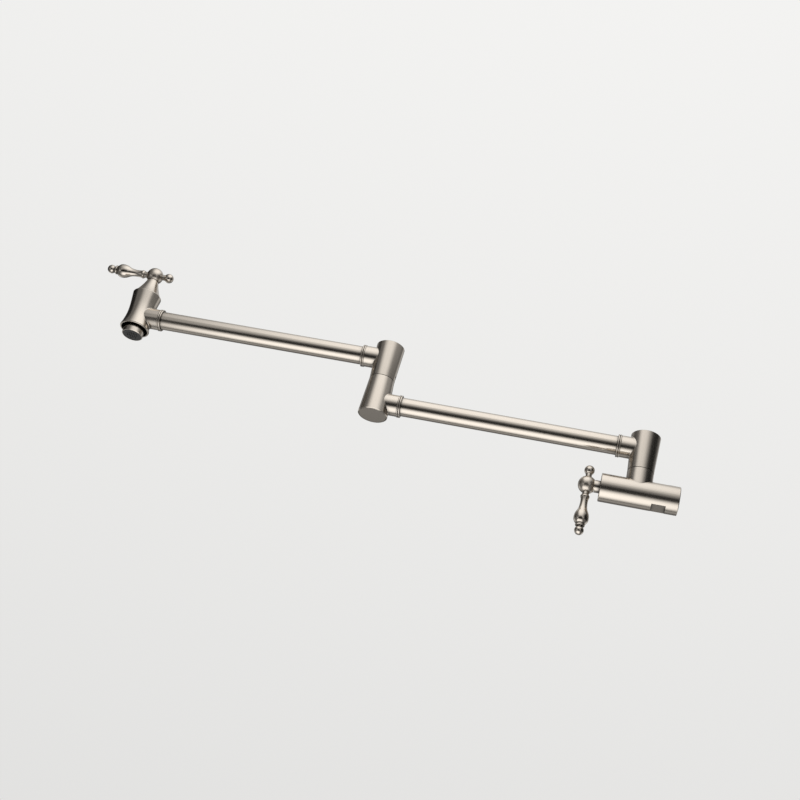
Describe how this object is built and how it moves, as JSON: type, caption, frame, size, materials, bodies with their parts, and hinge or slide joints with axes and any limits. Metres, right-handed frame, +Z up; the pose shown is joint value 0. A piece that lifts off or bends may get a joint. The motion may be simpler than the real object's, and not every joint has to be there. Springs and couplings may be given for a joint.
{
  "type": "wall mounted pot filler",
  "caption": "Wall mounted pot filler: two swinging arms that fold over each other, with a turned lever valve at the wall and another on the spout.",
  "frame": {"origin": "centre of the inlet's threaded mouth, in the plane of the wall face", "axes": "+Y into the wall along the inlet thread, +Z up along both swivel axes, arms reach out along -Y at rest"},
  "size_m": [0.033, 0.6685, 0.2276],
  "materials": {
    "brushed_nickel": "warm satin brushed nickel plate",
    "machined_brass": "machined brass",
    "ceramic": "polished alumina ceramic",
    "black_rubber": "moulded black rubber",
    "grey_acetal": "moulded grey acetal",
    "black_plastic": "moulded black plastic",
    "screw_steel": "dark stainless steel"
  },
  "bodies": {
    "wall_valve": {"valve_body": "brushed_nickel", "inlet_retaining_nut": "brushed_nickel", "inlet_rubber_seat": "black_rubber", "inlet_fixed_disc": "ceramic", "inlet_cartridge_body": "machined_brass", "base_spigot": "machined_brass", "base_orings": "black_rubber", "base_thrust_washer": "grey_acetal"},
    "inlet_handle": {"inlet_moving_disc": "ceramic", "inlet_stem": "machined_brass", "inlet_stem_oring": "black_rubber", "inlet_handle_hub": "brushed_nickel", "inlet_handle_lever": "brushed_nickel", "inlet_handle_finial": "brushed_nickel", "inlet_handle_set_screw": "screw_steel"},
    "lower_arm": {"base_swivel_body": "brushed_nickel", "base_swivel_cap": "brushed_nickel", "base_grub_screw": "screw_steel", "lower_arm_inner_ring": "brushed_nickel", "lower_arm_tube": "brushed_nickel", "lower_arm_outer_ring": "brushed_nickel", "middle_lower_body": "brushed_nickel", "middle_bottom_cap": "brushed_nickel", "middle_spigot": "machined_brass", "middle_orings": "black_rubber", "middle_thrust_washer": "grey_acetal"},
    "upper_arm": {"middle_upper_body": "brushed_nickel", "middle_top_cap": "brushed_nickel", "middle_grub_screw": "screw_steel", "upper_arm_inner_ring": "brushed_nickel", "upper_arm_tube": "brushed_nickel", "upper_arm_outer_ring": "brushed_nickel", "spout_body": "brushed_nickel", "spout_bonnet": "brushed_nickel", "spout_rubber_seat": "black_rubber", "spout_fixed_disc": "ceramic", "spout_cartridge_body": "machined_brass", "aerator_housing": "brushed_nickel", "aerator_insert": "black_plastic", "aerator_washer": "black_rubber"},
    "spout_handle": {"spout_moving_disc": "ceramic", "spout_stem": "machined_brass", "spout_stem_oring": "black_rubber", "spout_handle_hub": "brushed_nickel", "spout_handle_lever": "brushed_nickel", "spout_handle_finial": "brushed_nickel", "spout_handle_set_screw": "screw_steel"}
  },
  "joints": [
    {"name": "inlet_valve", "type": "hinge", "parent": "wall_valve", "child": "inlet_handle", "pos_m": [0, -0.0929, 0], "axis": [0, -1, 0], "range_deg": [0, 90]},
    {"name": "base_swivel", "type": "hinge", "parent": "wall_valve", "child": "lower_arm", "pos_m": [0, -0.0418, 0], "axis": [0, 0, 1], "range_deg": [-90, 90]},
    {"name": "middle_swivel", "type": "hinge", "parent": "lower_arm", "child": "upper_arm", "pos_m": [0, -0.3268, 0], "axis": [0, 0, 1], "range_deg": [-180, 180]},
    {"name": "spout_valve", "type": "hinge", "parent": "upper_arm", "child": "spout_handle", "pos_m": [0, -0.6118, 0.1053], "axis": [0, 0, 1], "range_deg": [0, 90]}
  ]
}
